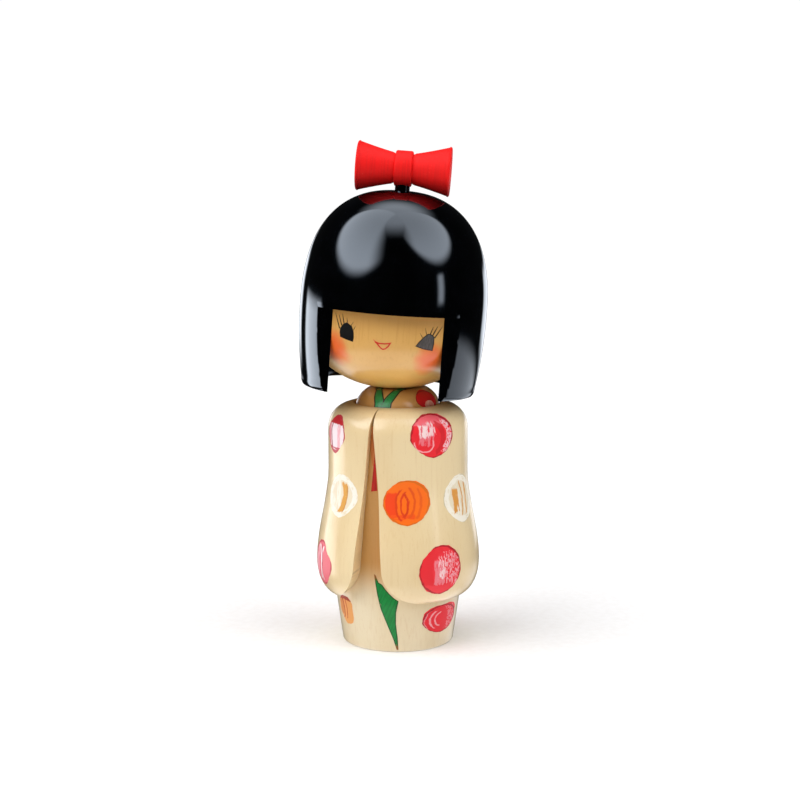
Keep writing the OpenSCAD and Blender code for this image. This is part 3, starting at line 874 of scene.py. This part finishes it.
leaf = {
    "outline": ((0.0, 25.6), (1.4, 22.6), (2.9, 19.4), (6.3, 14.3), (12.2, 8.8), (17.4, 4.4), (20.6, 0.9),
                (22.4, 0.9), (21.6, 5.0), (20.0, 9.6), (20.2, 13.4), (22.4, 17.2), (18.0, 18.3),
                (14.0, 19.6), (11.0, 20.8), (7.6, 22.4), (4.2, 23.0), (1.8, 25.2)),
    "edge": 0.3}
leafPlane = facing(12)
addBaseMark("longLeaf", turnedBody, leafPlane, aroundPoints(leaf["outline"], bodyOutline, leafPlane),
            [leafPaint, leafEdgePaint], "body_wood", border=leaf["edge"])

# a third number is the radius, where the band lies on the flat seat
collar = {
    "left": ((-11.5, 76.9), (-12.6, 78.4), (-17.0, 80.0), (-24.0, 81.9), (-37.0, 82.4, 8.4),
             (-42.0, 82.4, 6.2), (-22.0, 82.4, 6.4), (-12.0, 82.4, 8.6), (-4.0, 81.3), (1.0, 79.8),
             (3.0, 78.2), (3.0, 76.9)),
    "right": ((-3.0, 76.9), (-2.0, 78.2), (1.0, 79.8), (7.0, 81.4), (13.0, 82.3), (20.0, 82.4, 7.4),
              (26.0, 82.4, 6.2), (46.0, 82.4, 6.4), (38.0, 82.4, 8.5), (27.0, 81.9), (19.0, 80.3),
              (13.4, 78.6), (12.6, 76.9)),
    "edge": 0.42, "tilt": 42}
collarPlane = facing(0, collar["tilt"])
for side in ("left", "right"):
    addBaseMark(side + "CollarBand", turnedBody, collarPlane,
                aroundPoints(collar[side], bodyOutline, collarPlane), [collarPaint, collarEdgePaint],
                "body_wood", border=collar["edge"])

domeRose = {"at": (70.0, 79.4), "half": (21.0, 2.7), "tilt": 35, "backAt": -150, "brush": (4.6, 3.4)}
roseAt, roseRise = domeRose["at"]
rosePlane = facing(roseAt, domeRose["tilt"])
roseMiddle = [part / mm for part in aroundPoints([domeRose["at"]], bodyOutline, rosePlane)[0]]
roseTurns = [2 * math.pi * i / 40 for i in range(40)]
roseOutline = [(roseAt + domeRose["half"][0] * math.cos(t), roseRise + domeRose["half"][1] * math.sin(t))
               for t in roseTurns]
addBaseMark("shoulderRose", turnedBody, rosePlane, aroundPoints(roseOutline, bodyOutline, rosePlane),
            [flowerFinishes["cherryRingPaint"]], "body_wood", unit=(*roseMiddle, *domeRose["brush"]))
backPlane = facing(domeRose["backAt"], domeRose["tilt"])
backOutline = [(a - roseAt + domeRose["backAt"], z) for a, z in roseOutline]
addBaseMark("backShoulderRose", turnedBody, backPlane, aroundPoints(backOutline, bodyOutline, backPlane),
            [flowerFinishes["cherryRingPaint"]], "body_wood", unit=(0.0, roseMiddle[1], *domeRose["brush"]))

robeMarks = {"robeTop": (((-6, 72.6), (6, 72.6), (6, 76.9), (-6, 76.9)), robeRedWithPaintedShade),
             # the robeShade mark is painted shade: the wood between the two reds, in shade
             "robeShade": (((-1.2, 60), (5, 60), (6, 72.2), (-6, 72.2)), slotShadePaint),
             "robeTriangle": (((-2.6, 51.8), (3.4, 52.2), (1.2, 64.2)), robePaint)}
frontPlane = facing(0)
for name, (points, paint) in robeMarks.items():
    addBaseMark(name, turnedBody, frontPlane, aroundPoints(points, bodyOutline, frontPlane), [paint],
                "body_wood")
print("leaf, collar and robe painted")


# face
facePlane = facing(0, 0, headPlace)
eyePaint = brushedFinish("glossBlackEyePaint", "#050505", "#0D0C0C", 0.5, 0, 1.0)
# painted reflection: grey inside the right eye stands in for a shine on its gloss black paint
paintedGlintEyePaint = brushedFinish("blackEyePaintedReflection", "#4B4644", "#625C59", 0.35, 20, 0.6)
lipPaint = brushedFinish("lipRedPaint", "#DA2C12", "#C8230E", 0.4)


def onFace(points):
    # azimuth and height pairs on the head, as seen from straight in front of the face
    return [(radiusAt(headOutline, z) * math.sin(math.radians(a)) * mm, z * mm) for a, z in points]


headMarks = []


def addHeadMark(name, outline, finishes, **more):
    # a mark on the face that moves with the head
    mark = paintMark(name, faceHead, facePlane, outline, finishes, **more)
    headMarks.append(mark)


eyes = {
    "left": ((-27.6, 104.0), (-30.4, 103.4), (-32.7, 102.0), (-32.9, 100.6), (-32.3, 99.3), (-27.0, 98.7),
             (-22.2, 98.3), (-21.6, 99.6), (-21.9, 101.2), (-23.6, 103.0)),
    "right": ((28.6, 102.5), (25.4, 101.4), (22.0, 99.7), (20.2, 98.5), (26.0, 97.7), (33.2, 97.2),
              (33.6, 99.4), (33.3, 101.6), (31.0, 102.3)),
    "rim": 0.22}
addHeadMark("leftEye", onFace(eyes["left"]), [eyePaint])
# the right eye: painted reflection inside a black rim
addHeadMark("rightEye", onFace(eyes["right"]), [paintedGlintEyePaint, eyePaint], border=eyes["rim"])
mouth = {
    "outline": ((-8.4, 99.9), (-6.6, 99.3), (-4.0, 98.9), (-0.5, 98.9), (2.4, 99.1), (4.3, 99.3),
                (2.6, 97.9), (0.6, 97.0), (-1.4, 96.7), (-3.2, 97.2), (-5.6, 98.4)),
    "line": 0.42}
addHeadMark("smilingMouth", onFace(mouth["outline"]), [lipPaint, lipPaint],
            border=mouth["line"], keepInside=False)

# each lash is a fine stroke from its root to its tip: azimuth and height of both, and its width at the root
lashes = {
    "leftLash1": ((-33.2, 101.8), (-37.6, 106.4), 0.34), "leftLash2": ((-31.6, 102.8), (-34.4, 106.0), 0.34),
    "leftLash3": ((-29.8, 103.6), (-31.6, 106.4), 0.3), "leftLash4": ((-27.2, 104.0), (-27.8, 105.4), 0.2),
    "leftLash5": ((-24.4, 103.0), (-22.6, 104.4), 0.2), "leftLash6": ((-22.4, 101.8), (-20.8, 103.2), 0.18),
    "rightLash1": ((30.2, 102.4), (32.0, 104.6), 0.34), "rightLash2": ((32.0, 102.0), (35.4, 104.8), 0.36),
    "rightLash3": ((33.6, 101.2), (39.2, 104.8), 0.36), "rightLash4": ((27.4, 102.2), (26.2, 104.2), 0.18),
    "rightLash5": ((24.8, 101.2), (22.6, 102.6), 0.16)}
for name, (root, tip, wide) in lashes.items():
    root, tip = (Vector(end) for end in onFace((root, tip)))
    along = (tip - root).normalized()
    side = Vector((-along.y, along.x)) * wide * mm / 2
    # its width at the root, the middle and the tip, up one side and down the other
    middle = (root + tip) / 2
    ends = ((root, 1), (root, -1), (middle, -0.8), (tip, -0.25), (tip, 0.25), (middle, 0.8))
    addHeadMark(name, [tuple(end + side * share) for end, share in ends], [eyePaint])
print("face painted")


# finishes onto the pieces, and what each piece stands for
sleeveWood = woodFinish("satinSleeveWood", woods["sleeve"])[0]
bodyWood = bodyFinish()
dowelWood = woodFinish("bareDowelWood", woods["dowel"], None, 0.0, 0.6)[0]
pegLacquer = lacquerFinish("blackPegLacquer", headPlace)
turnedPieces = (
    (turnedBody, bodyWood, "base", "body", "body_wood"),
    (kimonoSleeves, sleeveWood, "base", "kimono_sleeves", "sleeve_wood"),
    (faceHead, faceFinish(head["radius"]), "head_group", "head", "face_wood"),
    (hairCap, lacquerFinish("blackHairLacquer", headPlace), "head_group", "hair", "hair_lacquer"),
    (redBow, bowFinish(bowPlace), "head_group", "bow", "bow_paint"))
for piece, finish, rideBody, node, slotName in turnedPieces:
    piece.data.materials.append(finish)
    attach(piece, rideBody)
    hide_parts(node)
for node, finish in (("neck_dowel", dowelWood), ("bow_peg", pegLacquer)):
    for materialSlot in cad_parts[node].material_slots:
        materialSlot.material = finish
for mark in baseMarks:
    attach(mark, "base")
for mark in headMarks:
    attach(mark, "head_group")
print("finishes laid on")


# studio
studio = {
    "floorWide": 6.0, "floor": "#FBFAF7", "floorFleck": "#EFEDE8", "backdrop": 1.02, "skyLow": 0.008,
    # each tall soft box: where it starts and ends round the doll, its glow, the height of its lower edge
    # in the middle, and how fast that edge rises to the sides
    "boxes": ((-178, -14, 4.0, -55, 16, 50, 20), (8, 176, 3.4, 62, 21, 42, 24)),
    # each small card: where it starts and ends, its lower and upper edges and its glow
    "cards": ((-136, -96, -22, 2, 3.2), (84, 156, -34, -12, 1.0), (140, 170, -12, 3, 1.6),
              (-170, -148, -9, 6, 1.6), (52, 65, -6, 14, 2.6)),
    "floorGlow": (-28, -46, 1.8),
    # how many degrees the sides of a box or a card, and a card's upper and lower edges, take to fade
    "boxFade": 26, "cardFade": 6, "cardRise": 4,
}
view = {"azimuth": 22.0, "distance": 0.5, "height": 0.150, "pitch": 8.203, "aside": 0.0725, "lens": 71.1}

bpy.ops.object.select_all(action="DESELECT")
bpy.ops.mesh.primitive_plane_add(size=studio["floorWide"])
floor = bpy.context.object
floor.name = "studioFloor"
floorPaint, floorTree, floorShader = newFinish("paleFloorPaper", {"Roughness": 0.9,
                                                                  "Specular IOR Level": 0.0})
paperGrain = addStep(floorTree, "noise", objectSpace(floorTree), 0.4, 2.0)
paperFlecks = addStep(floorTree, "ramp", paperGrain, 0.3, 0.7, 0.0, 0.3)
floorColour = addStep(floorTree, "mix", paperFlecks, linear(studio["floor"]), linear(studio["floorFleck"]))
floorTree.links.new(floorColour, floorShader.inputs["Base Color"])
floor.data.materials.append(floorPaint)
floor.visible_glossy = False


def makeStudioLight():
    # two tall soft boxes that nearly join overhead, as a sky that only the doll sees; the camera sees white
    world = bpy.data.worlds.new("softBoxStudio")
    bpy.context.scene.world = world
    world.use_nodes = True
    tree = world.node_tree
    wire = partial(addStep, tree)
    tree.nodes.clear()
    direction = addNode(tree, "ShaderNodeTexCoord").outputs["Generated"]
    turned = addNode(tree, "ShaderNodeVectorRotate", {"rotation_type": "Z_AXIS"}, {
        "Vector": direction, "Angle": math.radians(-view["azimuth"])}).outputs[0]
    x, y, z = addNode(tree, "ShaderNodeSeparateXYZ", None, {0: turned}).outputs
    degrees = 180 / math.pi
    azimuth = wire("MULTIPLY", wire("ARCTAN2", x, wire("MULTIPLY", y, -1.0)), degrees)
    elevation = wire("MULTIPLY", wire("ARCSINE", z), degrees)

    def between(value, low, high, fade):
        # 1 between two bounds, fading to 0 within both
        return wire("MULTIPLY", wire("ramp", value, low, low + fade), wire("ramp", value, high, high - fade))

    glow = 0.0
    for start, end, bright, middle, lowest, spread, rise in studio["boxes"]:
        across = between(azimuth, start, end, studio["boxFade"])
        off = wire("ABSOLUTE", wire("SUBTRACT", azimuth, float(middle)))
        bend = wire("POWER", wire("DIVIDE", off, float(spread)), 2.0)
        over = wire("SUBTRACT", elevation, wire("MULTIPLY_ADD", bend, float(rise), float(lowest)))
        height = wire("ramp", elevation, 8, 75, bright, bright * 0.62)
        fade = wire("MULTIPLY", wire("ramp", over, -4.0, 6.0), height)
        glow = wire("MAXIMUM", wire("MULTIPLY", across, fade), glow)
    glow = wire("MAXIMUM", glow, wire("ramp", elevation, 50, 76, 0.0, studio["boxes"][0][2] * 0.5))
    for start, end, low, high, bright in studio["cards"]:
        across = between(azimuth, start, end, studio["cardFade"])
        up = between(elevation, low, high, studio["cardRise"])
        glow = wire("MAXIMUM", glow, wire("MULTIPLY", wire("MULTIPLY", across, up), bright))
    start, end, bright = studio["floorGlow"]
    glow = wire("MAXIMUM", glow, wire("ramp", elevation, start, end, 0.0, bright))
    light = wire("ADD", glow, studio["skyLow"])
    doll = addNode(tree, "ShaderNodeBackground", None, {"Color": linear("#FAFBFF"), "Strength": light})
    paper = addNode(tree, "ShaderNodeBackground", None, {
        "Color": (1, 1, 1, 1), "Strength": studio["backdrop"]})
    path = addNode(tree, "ShaderNodeLightPath")
    both = addNode(tree, "ShaderNodeMixShader", None, {
        0: path.outputs["Is Camera Ray"], 1: doll.outputs[0], 2: paper.outputs[0]})
    addNode(tree, "ShaderNodeOutputWorld", None, {0: both.outputs[0]})


makeStudioLight()

turn = math.radians(view["azimuth"])
bpy.ops.object.camera_add(
    location=(view["distance"] * math.sin(turn), -view["distance"] * math.cos(turn), view["height"]),
    rotation=(math.radians(90 - view["pitch"]), 0, math.radians(view["azimuth"] - view["aside"])))
camera = bpy.context.object
camera.name = "studioCamera"
camera.data.lens = view["lens"]
camera.data.sensor_width = 36.0
camera.data.clip_start = 0.01
bpy.context.scene.camera = camera
bpy.context.scene.view_settings.view_transform = "Standard"
print("studio set")
